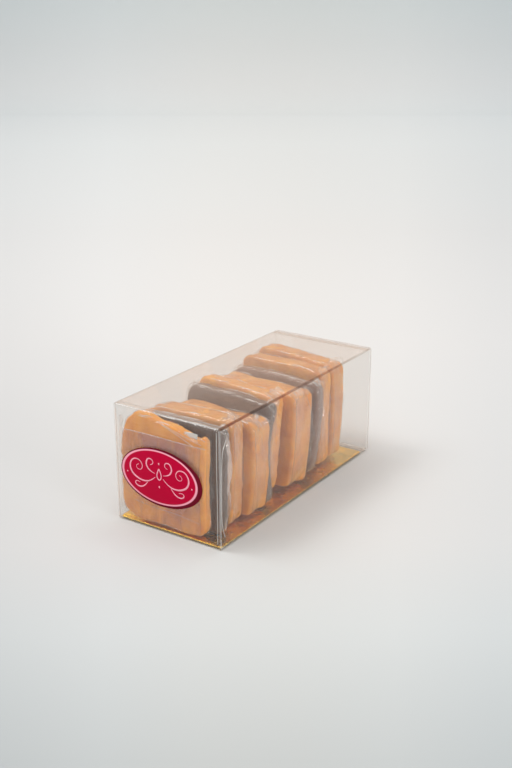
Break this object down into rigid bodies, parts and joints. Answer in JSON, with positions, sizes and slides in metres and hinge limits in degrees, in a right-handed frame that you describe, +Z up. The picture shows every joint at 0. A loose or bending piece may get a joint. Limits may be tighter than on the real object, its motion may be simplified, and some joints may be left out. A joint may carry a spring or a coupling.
{
  "type": "boxed caramels",
  "caption": "Clear folded box lying on its side, filled with a row of square caramel slabs wrapped in film on a gold card, with an oval label on one end.",
  "frame": {"origin": "under the middle of the whole part, on the surface it lies on", "axes": "+Z up, -Y towards the end with the oval label, +Y back along the row of slabs, +X to the right seen from the label end"},
  "size_m": [0.048, 0.1104, 0.047],
  "materials": {
    "clear_plastic": "clear, colourless, high gloss sheet",
    "gold_foil": "mirror-like gold foil on card",
    "label_print": "satin printed paper, crimson",
    "caramel": "soft satin golden caramel under clear film",
    "dark_caramel": "soft satin dark chocolate caramel under clear film"
  },
  "bodies": {
    "root": {"clear_box": "clear_plastic", "gold_card": "gold_foil", "label": "label_print", "caramel_01": "caramel", "dark_caramel_02": "dark_caramel", "caramel_03": "caramel", "caramel_04": "caramel", "dark_caramel_05": "dark_caramel", "caramel_06": "caramel", "caramel_07": "caramel", "dark_caramel_08": "dark_caramel", "caramel_09": "caramel", "caramel_10": "caramel"}
  },
  "joints": []
}
